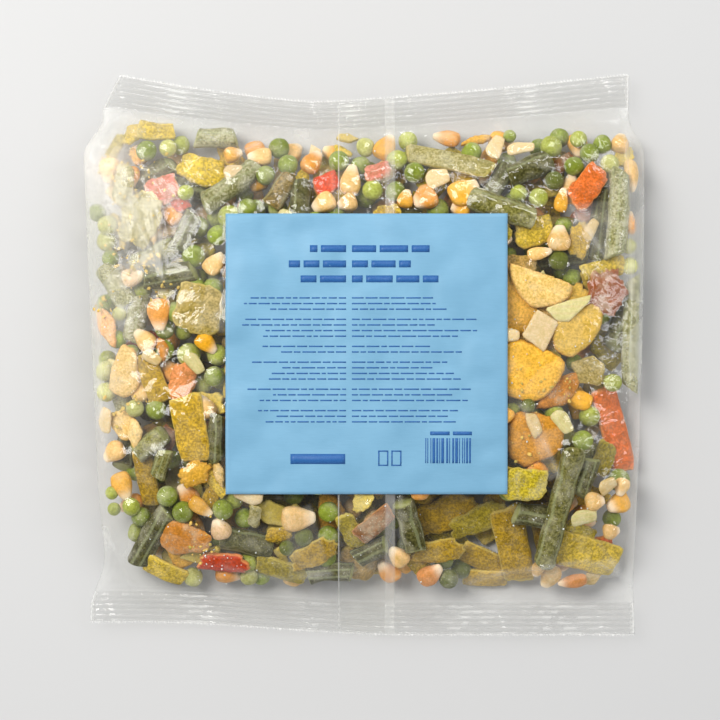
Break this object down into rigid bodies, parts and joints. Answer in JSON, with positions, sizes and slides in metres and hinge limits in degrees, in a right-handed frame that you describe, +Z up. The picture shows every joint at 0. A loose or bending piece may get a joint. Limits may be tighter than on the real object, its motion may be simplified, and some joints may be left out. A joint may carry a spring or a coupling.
{
  "type": "frozen vegetable bag",
  "caption": "Clear sealed pillow bag of frozen mixed vegetables with crimped end seals, a front overlap seam and a plain blue square label, lying flat.",
  "frame": {"origin": "centre of the underside's bounding box, on the surface the bag lies on", "axes": "+X to the right across the bag, +Y towards the top seal, +Z up through the labelled front"},
  "size_m": [0.2118, 0.2114, 0.0301],
  "materials": {
    "vegetables_in_film": "gloss",
    "label_paper": "satin"
  },
  "bodies": {
    "root": {"bag": "vegetables_in_film", "label": "label_paper"}
  },
  "joints": []
}
